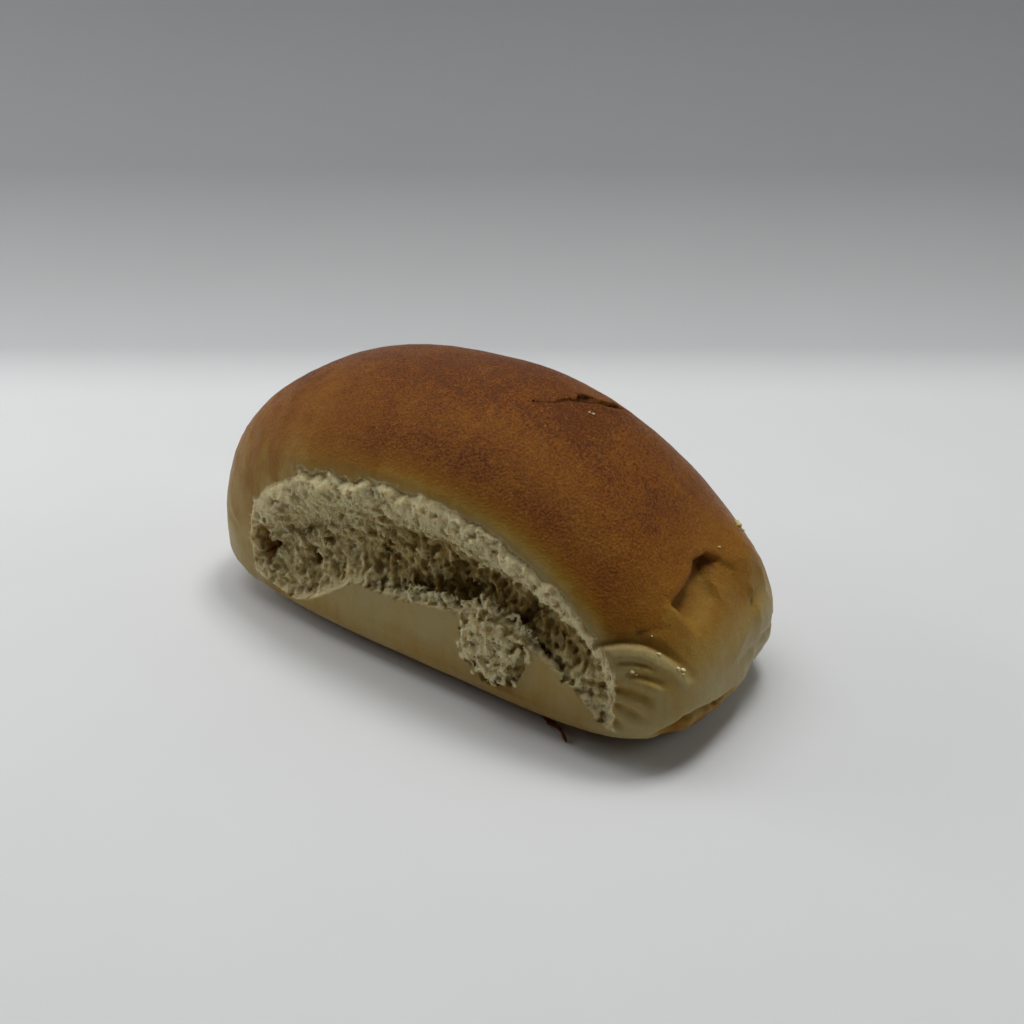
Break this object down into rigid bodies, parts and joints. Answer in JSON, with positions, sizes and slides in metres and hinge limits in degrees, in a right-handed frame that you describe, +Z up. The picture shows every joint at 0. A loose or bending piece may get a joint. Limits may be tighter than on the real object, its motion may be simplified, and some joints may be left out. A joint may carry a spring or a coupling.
{
  "type": "sweet milk roll",
  "caption": "Soft oblong sweet milk roll with a glossy brown crown, pulled from its row so that both long sides show torn crumb.",
  "frame": {"origin": "centre of the bounding box, on the flat sole that the roll lies on", "axes": "+X along the roll, towards the end with the dent; +Z up; -Y is the torn side that the picture shows"},
  "size_m": [0.1158, 0.0518, 0.0548],
  "materials": {
    "crust": "satin brown baked crust, fading to gold and pale skin",
    "crumb": "matte open crumb"
  },
  "bodies": {
    "root": {"roll": "crust"}
  },
  "joints": []
}
